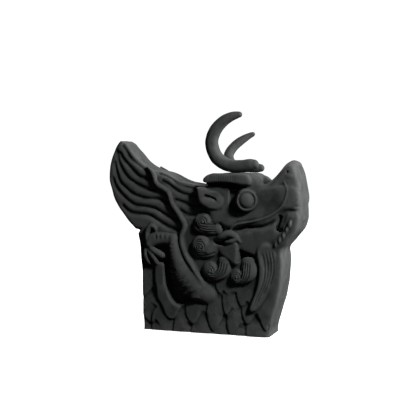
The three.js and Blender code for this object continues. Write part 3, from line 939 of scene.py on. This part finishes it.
@dataclass(frozen=True)
class Foreleg(Form):
    """The raised foreleg: haunch, knee and forearm, with tufts of hair along its rear."""

    haunch: Stations = ((20, 60, 20, 14, 12), (8, 66, 28, 18, 13), (-9, 76, 34, 21, 15),
                        (-24, 89, 37, 22.5, 15), (-36, 104, 38, 20, 14), (-44, 119, 38, 15.5, 13),
                        (-50, 134, 39, 12, 12), (-54, 150, 40, 9.5, 10), (-55, 165, 39, 8, 8))
    forearm: Pad = Pad(((-50, 172), (-64, 174), (-88, 175), (-100, 170), (-107, 160), (-105, 150),
                        (-96, 148), (-84, 152), (-68, 153), (-58, 150), (-48, 158)), 30.0, 46.0, 7.0)
    creases: tuple[Places, ...] = (
        ((-69, 174), (-70.5, 168), (-69, 162)), ((-78, 175), (-79, 168), (-77.5, 161)),
        ((-87, 174), (-86, 167), (-87, 160)), ((-60, 174), (-62, 167), (-64, 162)),
    )
    tufts: tuple[tuple[Place, Place, Place], ...] = (
        ((-46, 117), (-55, 117), (-60.5, 118)), ((-44, 107), (-53, 106.5), (-60.5, 107)),
        ((-38, 97), (-50, 97), (-58, 96)), ((-34, 88), (-45, 88), (-52.5, 86)),
        ((-28, 79), (-39, 78), (-47, 76)), ((-20, 72), (-30, 70.5), (-38, 68.5)),
        ((-8, 67), (-18, 65), (-26, 63.5)),
    )
    tuft_sections: tuple[Sizes, ...] = ((43, 6.0, 5), (42, 5.2, 5), (39, 2.2, 3))
    wrinkles: tuple[Places, ...] = (
        ((-64, 112.5), (-56, 112), (-47, 114)), ((-62, 102), (-53, 102), (-43, 105), (-36, 110)),
        ((-59, 92), (-48, 92), (-36, 96), (-27, 103)), ((-54, 82), (-43, 83), (-31, 87), (-20, 95)),
        ((-46, 73), (-35, 74.5), (-24, 79), (-13, 87)), ((-35, 66), (-26, 68), (-15, 73), (-6, 79)),
        ((-60, 107), (-50, 108), (-41, 111)), ((-55, 97), (-44, 99), (-36, 103)),
        ((-50, 87), (-40, 88), (-30, 93)), ((-43, 77.5), (-34, 79), (-24, 84)),
    )
    fine_wrinkles: tuple[Places, ...] = (
        ((-63, 155), (-55, 154), (-48, 155)), ((-63, 148), (-56, 147), (-50, 148)),
        ((-62, 141), (-55, 140), (-49, 141)), ((-62, 134), (-54, 133), (-47, 134)),
        ((-63, 127), (-54, 126), (-46, 127)), ((-63, 120), (-54, 119), (-45, 120)),
    )

    crease_cut: Cut = Cut(3.6, 1.6, 0.4, (36, 60))
    wrinkle_cut: Cut = Cut(3.4, 1.5, 0.35, (36, 60))
    fine_cut: Cut = Cut(2.8, 0.8, 0.4, (36, 60))
    worn: Region = (3, (-76, 16), (54, 150))

    def lay_relief(self, clay: ClayMass) -> None:
        """Lay the haunch, the forearm and the tufts."""
        clay.roll(self.haunch, sides=28, steps=40)
        clay.pad(self.forearm)
        for tuft in self.tufts:
            clay.roll(tuple(place + section for place, section in zip(tuft, self.tuft_sections)))

    def score_relief(self, skin: Skin) -> None:
        """Score the creases and wrinkles, and wear them down."""
        for line in self.creases:
            skin.score(line, self.crease_cut)
        for line in self.wrinkles:
            skin.score(line, self.wrinkle_cut)
        for line in self.fine_wrinkles:
            skin.score(line, self.fine_cut)
        skin.soften(*self.worn)


@dataclass(frozen=True)
class Paw(Form):
    """The hooked claws of the paw and the band that hangs below them."""

    toes: tuple[Stations, ...] = (
        ((-103, 150, 37, 5, 6), (-105, 165, 39, 4.6, 6.5), (-103, 178, 40, 4.2, 6.5), (-96, 186, 40, 4, 6),
         (-89, 182, 40, 3.6, 5), (-88, 175, 39, 1.8, 3)),
        ((-102, 148, 38, 4, 5), (-92, 143, 42, 5.2, 6.5), (-82, 138, 43, 6, 6.5), (-75, 134, 42, 5.4, 6)),
        ((-104, 144, 38, 4, 5), (-96, 137, 42, 5, 6.5), (-90, 129, 42, 5, 6.5), (-86.5, 121, 40, 4, 5)),
        ((-107, 147, 37, 3.4, 4), (-107, 137, 41, 4.2, 5.5), (-104, 127, 41, 4.2, 5.5), (-99, 118, 39, 3, 4)),
        ((-112, 146, 35, 2.6, 4), (-112, 133, 37, 3, 4.5), (-110, 120, 36, 2.6, 4)),
    )
    palm: Knob = (-100.0, 153.0, 38.0, (9.0, 9.0, 8.0))
    band: Pad = Pad(((-91, 120), (-91.5, 100), (-90.5, 88), (-88, 76), (-88.5, 66), (-86, 56), (-81, 49),
                     (-77, 41), (-73, 31), (-68, 24), (-60, 21), (-53, 26), (-48, 36), (-44, 45),
                     (-52, 48), (-58, 53), (-65, 65), (-70, 80), (-72.5, 100), (-73, 120)),
                    28.0, 41.0, 3.5, ((-80, 75), (-56, 22), 0.76))
    grooves: tuple[Places, ...] = (
        ((-109.5, 179), (-109, 166), (-107, 151)),
        ((-115, 152), (-115.5, 132), (-114.5, 113)),
        ((-116, 114), (-106, 113.5), (-96, 115)),
    )
    groove_cut: Cut = Cut(4.2, 6.0, 0.1, (30, 44))

    def lay_relief(self, clay: ClayMass) -> None:
        """Lay the claws and the band."""
        clay.dome(*self.palm)
        for toe in self.toes:
            clay.roll(toe)
        clay.pad(self.band)

    def score_relief(self, skin: Skin) -> None:
        """Score the deep lines beside the claws."""
        for line in self.grooves:
            skin.score(line, self.groove_cut)


@dataclass(frozen=True)
class Whisker(Form):
    """The long wavy whisker strand that runs from the mane down to the shoulder."""

    stations: Stations = ((-108, 289, 30, 1.5, 3), (-95, 277, 34, 4, 6), (-88, 260, 36, 4.5, 6),
                          (-66, 245, 37, 5, 6), (-58, 226, 38, 4.5, 6), (-44, 205, 38, 5, 6),
                          (-35, 188, 38, 5.5, 6), (-40, 168, 38, 5, 6.5), (-35, 143, 38, 5, 8),
                          (-20, 119, 40, 5, 9), (-5, 96, 40, 4.4, 8), (4, 82, 38, 3.5, 6))

    def lay_relief(self, clay: ClayMass) -> None:
        """Lay the strand."""
        clay.roll(self.stations, steps=60)


@dataclass(frozen=True)
class Leaf(Form):
    """The leaf below the ear curls: a folded knot and a petal that points down."""

    folds: tuple[Stations, ...] = (
        ((25, 165, 36, 5, 6), (36, 171, 40, 6.5, 8), (48, 175, 41, 6.5, 8), (58, 172, 41, 6, 7),
         (66, 163, 38, 4, 5)),
        ((42, 160, 41, 3.5, 5), (52, 163, 43, 4.2, 6), (62, 168, 42, 4, 5)),
    )
    petal: Pad = Pad(((23, 157), (34, 159), (48, 160), (60, 162), (64.5, 156), (64.5, 142), (64, 130),
                      (61, 123), (54, 123), (47, 128), (38, 134), (30, 140), (24.5, 149)),
                     28.0, 47.0, 6.0, ((62, 152), (26, 146), 0.66))
    slit: Places = ((21, 160.5), (29, 159), (37, 158), (45, 158))
    slit_cut: Cut = Cut(3.8, 7.0, 0.15, (34, 60))

    def lay_relief(self, clay: ClayMass) -> None:
        """Lay the knot and the petal."""
        for fold in self.folds:
            clay.roll(fold)
        clay.pad(self.petal)

    def score_relief(self, skin: Skin) -> None:
        """Score the slit under the knot."""
        skin.score(self.slit, self.slit_cut)


@dataclass(frozen=True)
class Lips(Form):
    """The thin raised lip that sweeps from the snout back along the mouth."""

    ridge: Stations = ((143, 264, 37, 1.2, 3), (148.5, 252, 40.5, 1.8, 3), (146.5, 238, 41, 1.8, 3),
                       (139, 223, 41, 1.8, 3), (123, 210, 41, 1.8, 3), (99, 200, 41, 1.9, 3.4),
                       (74, 195, 41, 2.2, 4), (60, 191, 40, 2.2, 4), (50, 184, 38, 1.6, 4))
    above: Places = ((104, 205), (88, 201), (72, 198), (58, 194), (48, 187))
    slit: Places = ((54, 182.5), (64, 184), (76, 187.5), (92, 188), (106, 189.5), (118, 194), (129, 201.5))
    above_cut: Cut = Cut(3.0, 1.6, 0.3, (34, 48))
    slit_cut: Cut = Cut(3.2, 3.0, 0.2, (30, 44))
    deep_cut: Cut = Cut(4.0, 6.0, 0.25, (30, 44))

    def lay_relief(self, clay: ClayMass) -> None:
        """Lay the ridge."""
        clay.roll(self.ridge, steps=56)

    def score_relief(self, skin: Skin) -> None:
        """Score the line above the ridge and the slit of the mouth, which is deepest at the rear."""
        skin.score(self.above, self.above_cut)
        skin.score(self.slit, self.slit_cut)
        skin.score(self.slit[:4], self.deep_cut)


@dataclass(frozen=True)
class JawFringe(Form):
    """The fleshy lips at the front and the row of small locks that edges the lower jaw."""

    lips: tuple[Knob, ...] = ((158, 222, 27, (11, 13, 6.5)), (157, 206, 27, (12, 14, 8.5)))
    places: Places = ((153, 194), (148, 185), (142.5, 176), (136, 168), (129, 160))

    def lay_relief(self, clay: ClayMass) -> None:
        """Lay the lips and the locks."""
        for knob in self.lips:
            clay.dome(*knob)
        for x, z in self.places:
            clay.roll(((x - 2.5, z - 7, 36, 2.0, 4), (x, z, 40, 3.4, 6), (x + 2, z + 6.5, 38, 2.2, 4)))


@dataclass(frozen=True)
class Beard(Form):
    """The beard that falls from the jaw over the chest and ends in a point turned forward."""

    fall: Pad = Pad(((96, 136), (99, 125), (100, 110), (98.5, 95), (94, 79), (88, 62), (83.5, 50),
                     (84, 43.5), (91, 43.5), (100, 51), (108, 62), (117, 75), (125, 94), (129, 115),
                     (130, 135), (128, 154), (118, 162), (104, 160), (97, 150)),
                    26.0, 45.0, 5.0, ((100, 112), (130, 104), 0.42))
    strands: tuple[Places, ...] = (
        ((105, 150), (109, 135), (111, 118), (109, 98), (103, 80), (95, 63), (89, 50)),
        ((110, 154), (114, 136), (116, 118), (113, 98), (107, 81), (99, 64), (92, 50)),
        ((115, 156), (119, 138), (120.5, 118), (117, 98), (111, 82), (103, 66)),
        ((120, 156), (124, 138), (125, 118), (121.5, 99), (116, 84)),
    )
    strand_cut: Cut = Cut(2.6, 1.8, 0.15, (30, 60))
    root: Region = (24, (90, 136), (143, 178))

    def lay_relief(self, clay: ClayMass) -> None:
        """Lay the beard."""
        clay.pad(self.fall)

    def score_relief(self, skin: Skin) -> None:
        """Score its strands and blend its root into the jaw."""
        for line in self.strands:
            skin.score(line, self.strand_cut)
        skin.soften(*self.root)


CURLS = (
    Curl(0, 195, (17, 13, 15), ((-9, 186, 36, 9, 9), (8, 184, 37, 10, 9), (26, 183, 35, 10, 8)),
         (3.4, 7.5, 11.4, 15.0),
         (((8, 190.5), (24, 191.5)), ((8, 186.3), (25, 187)), ((8, 182), (26, 182.6)),
          ((6, 177.8), (26, 178)))),
    Curl(-4, 152, (18, 13, 19), ((-8, 142, 35, 10, 9), (8, 146, 36, 14, 10), (22, 152, 34, 13, 8)),
         (3.4, 7.4, 11.4, 15.2),
         (((1, 149),), ((2, 144.5),), ((2, 140.5), (9, 141)), ((2, 136.6), (12, 138), (24, 144)))),
    Curl(13, 111, (15.5, 13, 15), ((12, 101, 36, 7, 8), (27, 103, 37, 9, 9), (37, 113, 38, 12, 9),
                                   (40, 130, 36, 13, 7)),
         (3.8, 7.6, 11.2, 14.2),
         (((21, 106), (27, 114), (30, 127)), ((23, 103.5), (31, 112), (34.5, 128)),
          ((25, 100.5), (36, 111), (39.5, 128)), ((26, 98), (40, 108), (45, 127)))),
    Curl(61, 102, (13, 12, 13.5), ((61, 95, 36, 6, 8), (73, 99, 37, 10, 9), (82, 111, 38, 14, 9),
                                   (83, 131, 35, 15, 6)),
         (3.6, 7.2, 10.6, 13.4),
         (((68, 99), (71.5, 108), (71.5, 127)), ((70, 96.5), (75.5, 107), (76, 128)),
          ((72, 94), (79.5, 106), (80.5, 128)), ((73, 91), (83, 104), (85, 127)))),
)

FORMS: tuple[Form, ...] = (
    NeckBlock(), Mane(), Head(), Snout(), Brow(), ScaleField(), Eye(), Ear(), *CURLS, Foreleg(), Paw(),
    Whisker(), Leaf(), Lips(), JawFringe(), Beard(),
)


# ---------------------------------------------------------------- finishes


@dataclass(frozen=True)
class FiredClay:
    """Dark grey reduction-fired clay, dusty on its edges, with painted shade that darkens its hollows."""

    name: str = "grey_clay"
    body: tuple[float, float, float] = (0.082, 0.088, 0.087)
    # darkest tone: painted shade in the hollows, and also the colour of the random dark flecks and grain
    pale: tuple[float, float, float] = (0.118, 0.124, 0.121)
    shade_and_fleck: tuple[float, float, float] = (0.038, 0.041, 0.041)
    roughness: float = 0.86
    grain_scale: float = 620.0
    grain_height: float = 0.00022

    def material(self) -> bpy.types.Material:
        """Make the material from procedural nodes on Object coordinates.

        Returns:
            The finished material.
        """
        material = bpy.data.materials.new(self.name)
        material.use_nodes = True
        tree = material.node_tree
        nodes, links = tree.nodes, tree.links
        shader = nodes["Principled BSDF"]
        shader.inputs["Specular IOR Level"].default_value = 0.28
        where = nodes.new("ShaderNodeTexCoord").outputs["Object"]
        patches = self._noise(tree, where, 16.0, 4.0, 0.55)
        mottle = self._noise(tree, where, 95.0, 5.0, 0.6)
        grain = self._noise(tree, where, self.grain_scale, 3.0, 0.6)
        relief = nodes.new("ShaderNodeAttribute")
        relief.attribute_name = "relief"
        tone = self._mix(tree, self.body, self.pale, self._window(tree, patches, 0.42, 0.72))
        dusty = self._mix(tree, tone, self.pale, self._window(tree, relief.outputs["Fac"], 0.55, 0.85))
        # painted shade: the hollows of the relief are turned darker, standing in for the shade that falls in
        # them
        painted_hollow_shade = self._mix(tree, self.shade_and_fleck, dusty, self._window(tree, relief.outputs["Fac"], 0.12, 0.46))
        dark_flecks = self._window(tree, mottle, 0.30, 0.62)
        flecked = self._mix(tree, self.shade_and_fleck, painted_hollow_shade, self._window(tree, dark_flecks, -0.9, 0.6))
        grainy = self._mix(tree, self.shade_and_fleck, flecked, self._window(tree, grain, -0.35, 0.62))
        links.new(grainy, shader.inputs["Base Color"])
        rough = self._window(tree, mottle, 0.2, 0.8, self.roughness - 0.08, self.roughness + 0.08)
        links.new(rough, shader.inputs["Roughness"])
        fine = self._bump(tree, grain, self.grain_height, None)
        coarse = self._bump(tree, mottle, self.grain_height * 3.0, fine)
        links.new(coarse, shader.inputs["Normal"])
        return material

    @staticmethod
    def _noise(tree: bpy.types.NodeTree, where: bpy.types.NodeSocket, scale: float, detail: float,
               rough: float) -> bpy.types.NodeSocket:
        """Add a noise texture and return its value."""
        noise = tree.nodes.new("ShaderNodeTexNoise")
        noise.inputs["Scale"].default_value = scale
        noise.inputs["Detail"].default_value = detail
        noise.inputs["Roughness"].default_value = rough
        tree.links.new(where, noise.inputs["Vector"])
        return noise.outputs["Fac"]

    @staticmethod
    def _window(tree: bpy.types.NodeTree, value: bpy.types.NodeSocket, low: float, high: float,
                to_low: float = 0.0, to_high: float = 1.0) -> bpy.types.NodeSocket:
        """Map a range of a value smoothly to another range."""
        window = tree.nodes.new("ShaderNodeMapRange")
        window.interpolation_type = "SMOOTHSTEP"
        for name, number in (("From Min", low), ("From Max", high), ("To Min", to_low), ("To Max", to_high)):
            window.inputs[name].default_value = number
        tree.links.new(value, window.inputs["Value"])
        return window.outputs["Result"]

    @staticmethod
    def _mix(tree: bpy.types.NodeTree, first: tuple | bpy.types.NodeSocket,
             second: tuple | bpy.types.NodeSocket, share: bpy.types.NodeSocket) -> bpy.types.NodeSocket:
        """Mix two colours by a share of the second."""
        mix = tree.nodes.new("ShaderNodeMix")
        mix.data_type = "RGBA"
        tree.links.new(share, mix.inputs[0])
        for socket, colour in ((mix.inputs[6], first), (mix.inputs[7], second)):
            if isinstance(colour, tuple):
                socket.default_value = (*colour, 1.0)
            else:
                tree.links.new(colour, socket)
        return mix.outputs[2]

    @staticmethod
    def _bump(tree: bpy.types.NodeTree, height: bpy.types.NodeSocket, distance: float,
              below: bpy.types.NodeSocket | None) -> bpy.types.NodeSocket:
        """Add a bump on top of another one."""
        bump = tree.nodes.new("ShaderNodeBump")
        bump.inputs["Distance"].default_value = distance
        bump.inputs["Strength"].default_value = 1.0
        tree.links.new(height, bump.inputs["Height"])
        if below is not None:
            tree.links.new(below, bump.inputs["Normal"])
        return bump.outputs["Normal"]


def mark_relief(piece: bpy.types.Object, rounds: int = 14) -> None:
    """Store how far each point stands above or below the clay around it, from 0 to 1; the material lightens
    raised parts by it and paints shade into the hollows by it.

    Args:
        piece: The finished piece, in metres.
        rounds: How wide the clay around it is taken.
    """
    skin = Skin(piece)
    around = skin.points.copy()
    for _ in range(rounds):
        around = 0.3 * around + 0.7 * skin.mean(around)
    height = np.einsum("ij,ij->i", skin.points - around, skin.normals)
    share = 0.5 + 0.5 * np.tanh(height / (0.9 * MM))
    values = piece.data.attributes.new("relief", "FLOAT", "POINT")
    values.data.foreach_set("value", share.astype(np.float32))


def keep_inside(piece: bpy.types.Object) -> None:
    """Hold a piece, still in millimetres, inside the box of the solids.

    Args:
        piece: The piece.
    """
    low, high = (np.array(tuple(corner)) / MM for corner in CAD_BOX)
    count = len(piece.data.vertices)
    points = np.empty(count * 3)
    piece.data.vertices.foreach_get("co", points)
    points = points.reshape(-1, 3)
    low[:2] += BOX_MARGIN
    piece.data.vertices.foreach_set("co", np.clip(points, low, high - BOX_MARGIN).ravel())
    piece.data.update()


def dress(piece: bpy.types.Object, node: Part, material: bpy.types.Material) -> None:
    """Give a piece its finish, hang it under the root, and hide the frame part that it replaces.

    Args:
        piece: The finished piece.
        node: The node it replaces.
        material: Its material.
    """
    piece.data.materials.clear()
    piece.data.materials.append(material)
    for polygon in piece.data.polygons:
        polygon.use_smooth = True
    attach(piece, "root")
    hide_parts(node.value)


# ---------------------------------------------------------------- the pieces


@dataclass(frozen=True)
class BeastBody:
    """The whole beast below the horns."""

    forms: tuple[Form, ...] = FORMS
    name: str = "beast_body"

    def build(self) -> bpy.types.Object:
        """Model the body.

        Returns:
            The finished body in metres.
        """
        ground = self._ground()
        clay = ClayMass()
        for form in self.forms:
            form.lay_relief(clay)
        clay.mirror()
        clay.take(ground.data)
        old = ground.data
        bpy.data.objects.remove(ground)
        bpy.data.meshes.remove(old)
        piece = clay.press(self.name, SKIN_VOXEL)
        skin = Skin(piece)
        skin.relax(3)
        for form in self.forms:
            form.score_relief(skin)
            skin.settle()
        skin.relax(1, 0.5)
        skin.unevenness(0.22, (16.0, 46.0), SEED)
        skin.settle()
        self._stand(piece)
        self._thin(piece)
        keep_inside(piece)
        piece.data.transform(Matrix.Scale(MM, 4))
        return piece

    def _ground(self) -> bpy.types.Object:
        """Model the large forms and the lines that run under the relief."""
        clay = ClayMass()
        for form in self.forms:
            form.lay_ground(clay)
        ground = clay.press("ground", GROUND_VOXEL)
        skin = Skin(ground)
        skin.relax(4)
        for form in self.forms:
            form.score_ground(skin)
            skin.settle()
        return ground

    @staticmethod
    def _stand(piece: bpy.types.Object) -> None:
        """Cut the flat underside."""
        skin = bmesh.new()
        skin.from_mesh(piece.data)
        everything = skin.verts[:] + skin.edges[:] + skin.faces[:]
        bmesh.ops.bisect_plane(skin, geom=everything, plane_co=(0, 0, 0), plane_no=(0, 0, -1),
                               clear_outer=True)
        rim = [side for side in skin.edges if side.is_boundary]
        bmesh.ops.contextual_create(skin, geom=rim)
        bmesh.ops.triangulate(skin, faces=[face for face in skin.faces if len(face.verts) > 4])
        skin.to_mesh(piece.data)
        skin.free()

    @staticmethod
    def _thin(piece: bpy.types.Object) -> None:
        """Bring the skin under the most triangles that a piece may have."""
        piece.data.calc_loop_triangles()
        have = len(piece.data.loop_triangles)
        if have > MOST_TRIANGLES:
            thin = piece.modifiers.new("thin", "DECIMATE")
            thin.ratio = MOST_TRIANGLES / have
            finish_modifiers(piece)

    def dress(self, piece: bpy.types.Object, material: bpy.types.Material) -> None:
        """Give the body its finish."""
        mark_relief(piece)
        dress(piece, Part.BODY, material)


@dataclass(frozen=True)
class Horn:
    """A horn: a tapered clay roll bent into a C, which lies on the brow and leans outward."""

    node: Part
    stations: tuple[tuple[float, float, float], ...]
    offset: float
    lean: float
    flip: bool
    brow_top: float = 278.5
    gap: float = 0.3
    trim: float = 0.985

    def build(self) -> bpy.types.Object:
        """Model the horn.

        Returns:
            The finished horn in metres.
        """
        clay = ClayMass()
        rows = tuple((x, height, 0.0, radius * self.trim, radius * self.trim)
                     for x, height, radius in self.stations)
        verts = clay.roll(rows, sides=40, steps=150)
        bmesh.ops.rotate(clay.mesh, cent=(0, 0, 0), verts=verts,
                         matrix=Matrix.Rotation(math.radians(self.lean), 3, "X"))
        bmesh.ops.translate(clay.mesh, vec=(0, -self.offset, self.brow_top + self.gap), verts=verts)
        if self.flip:
            bmesh.ops.scale(clay.mesh, vec=(1, -1, 1), verts=verts)
        piece = clay.press(f"{self.node.value}_roll", HORN_VOXEL)
        skin = Skin(piece)
        skin.relax(3)
        skin.unevenness(0.12, (9.0, 30.0), SEED + len(self.stations) + int(self.flip))
        skin.settle()
        keep_inside(piece)
        piece.data.transform(Matrix.Scale(MM, 4))
        return piece

    def dress(self, piece: bpy.types.Object, material: bpy.types.Material) -> None:
        """Give the horn its finish."""
        mark_relief(piece)
        dress(piece, self.node, material)


HORNS = (
    Horn(Part.RIGHT_HORN, ((86, 15.2, 8.4), (80, 14.4, 10.2), (67, 12.3, 11), (49, 11.6, 11.3),
                           (32, 16.8, 11.6),
                           (18, 28, 11.8), (10.5, 50.5, 11.8), (15.7, 70.5, 11.3), (32, 88.5, 9.8),
                           (47, 96.4, 8.2), (57, 99, 6.4), (61, 99.6, 5.4)), 21.0, 4.0, False),
    Horn(Part.LEFT_HORN, ((86, 9.6, 7), (80, 9.8, 8.2), (66, 10.8, 8.9), (48, 11.4, 9.2), (34, 15.8, 9.2),
                          (25, 26, 9.2), (23, 38, 9), (28, 50.5, 8.6), (37, 61.5, 8), (48, 71, 6.8),
                          (57, 77, 5.2), (61, 79, 4.4)), 14.0, 30.0, True),
)


# ---------------------------------------------------------------- the studio


@dataclass(frozen=True)
class StudioBowl:
    """A plain pale floor that rises into a round backdrop."""

    name: str = "studio_bowl"
    flat_radius: float = 4.0
    rise_radius: float = 1.6
    height: float = 4.0
    tone: tuple[float, float, float] = (0.9, 0.9, 0.9)
    glow: float = 1.15

    def build(self) -> bpy.types.Object:
        """Turn the bowl.

        Returns:
            The bowl, marked as stage.
        """
        shell = bmesh.new()
        places = [(0.0, 0.0), (self.flat_radius, 0.0)]
        for i in range(1, 9):
            angle = math.radians(90 * i / 8)
            places.append((self.flat_radius + self.rise_radius * math.sin(angle),
                           self.rise_radius * (1 - math.cos(angle))))
        places.append((self.flat_radius + self.rise_radius, self.height))
        verts = [shell.verts.new((x, 0.0, z)) for x, z in places]
        wires = [shell.edges.new(pair) for pair in zip(verts, verts[1:])]
        bmesh.ops.spin(shell, geom=verts + wires, cent=(0, 0, 0), axis=(0, 0, 1), dvec=(0, 0, 0),
                       angle=2 * math.pi, steps=64, use_merge=True, use_duplicate=False)
        bmesh.ops.remove_doubles(shell, verts=shell.verts, dist=1e-5)
        bmesh.ops.recalc_face_normals(shell, faces=shell.faces)
        bmesh.ops.reverse_faces(shell, faces=shell.faces)
        mesh = bpy.data.meshes.new(self.name)
        shell.to_mesh(mesh)
        shell.free()
        for polygon in mesh.polygons:
            polygon.use_smooth = True
        bowl = bpy.data.objects.new(self.name, mesh)
        bpy.context.scene.collection.objects.link(bowl)
        bowl.visible_diffuse = False
        bowl.visible_glossy = False
        bowl.data.materials.append(self._material())
        return bowl

    def _material(self) -> bpy.types.Material:
        """Make a pale paper that also glows a little, so shadows on it stay light."""
        material = bpy.data.materials.new("pale_paper")
        material.use_nodes = True
        shader = material.node_tree.nodes["Principled BSDF"]
        shader.inputs["Base Color"].default_value = (*self.tone, 1.0)
        shader.inputs["Roughness"].default_value = 1.0
        shader.inputs["Specular IOR Level"].default_value = 0.0
        shader.inputs["Emission Color"].default_value = (*self.tone, 1.0)
        shader.inputs["Emission Strength"].default_value = self.glow
        return material


@dataclass(frozen=True)
class Softbox:
    """A round lamp that looks at the middle of the beast."""

    name: str
    way: tuple[float, float, float]
    distance: float
    size: float
    power: float
    middle: tuple[float, float, float] = (0.0, 0.0, 0.17)

    def build(self) -> bpy.types.Object:
        """Hang the lamp.

        Returns:
            The lamp's object.
        """
        lamp = bpy.data.lights.new(self.name, "AREA")
        lamp.shape = "DISK"
        lamp.size = self.size
        lamp.energy = self.power
        holder = bpy.data.objects.new(self.name, lamp)
        away = Vector(self.way).normalized()
        holder.location = Vector(self.middle) + away * self.distance
        holder.rotation_euler = away.to_track_quat("Z", "Y").to_euler()
        holder.visible_camera = False
        bpy.context.scene.collection.objects.link(holder)
        return holder


@dataclass(frozen=True)
class ViewCamera:
    """The camera, a little above the base and in front of the right flank."""

    azimuth: float = 19.4
    elevation: float = 3.4
    distance: float = 1.5
    target: tuple[float, float, float] = (-0.0015, 0.0, 0.213)
    lens: float = 72.86

    def build(self) -> bpy.types.Object:
        """Set the camera up.

        Returns:
            The camera's object.
        """
        camera = bpy.data.cameras.new("camera")
        camera.lens = self.lens
        camera.sensor_width = 36.0
        camera.clip_start = 0.05
        camera.clip_end = 60.0
        holder = bpy.data.objects.new("camera", camera)
        turn, lift = math.radians(self.azimuth), math.radians(self.elevation)
        away = Vector((math.sin(turn) * math.cos(lift), -math.cos(turn) * math.cos(lift), math.sin(lift)))
        holder.location = Vector(self.target) + away * self.distance
        holder.rotation_euler = away.to_track_quat("Z", "Y").to_euler()
        bpy.context.scene.collection.objects.link(holder)
        bpy.context.scene.camera = holder
        return holder


LAMPS = (
    Softbox("key_lamp", (0.78, -0.50, 0.64), 1.35, 0.20, 10.6),
    Softbox("front_lamp", (1.0, 0.30, 0.45), 1.6, 0.6, 24.0),
    Softbox("rear_lamp", (-0.45, 0.70, 0.75), 2.6, 1.2, 30.0),
)
AMBIENT = 0.014


def light_the_air() -> None:
    """Set the even light that comes from everywhere and the way tones are shown."""
    scene = bpy.context.scene
    world = bpy.data.worlds.new("air")
    world.use_nodes = True
    world.node_tree.nodes["Background"].inputs["Color"].default_value = (1.0, 1.0, 1.0, 1.0)
    world.node_tree.nodes["Background"].inputs["Strength"].default_value = AMBIENT
    scene.world = world
    scene.view_settings.view_transform = "Standard"
    scene.view_settings.look = "None"


def main() -> None:
    """Build the ornament and the studio round it."""
    logging.basicConfig(level=logging.INFO, format="%(name)s: %(message)s")
    ViewCamera().build()
    StudioBowl().build()
    for lamp in LAMPS:
        lamp.build()
    light_the_air()
    clay = FiredClay().material()
    body = BeastBody()
    piece = body.build()
    body.dress(piece, clay)
    LOG.info("%s: %d faces", piece.name, len(piece.data.polygons))
    for horn in HORNS:
        piece = horn.build()
        horn.dress(piece, clay)
        LOG.info("%s: %d faces", piece.name, len(piece.data.polygons))


if __name__ == "__main__":
    main()
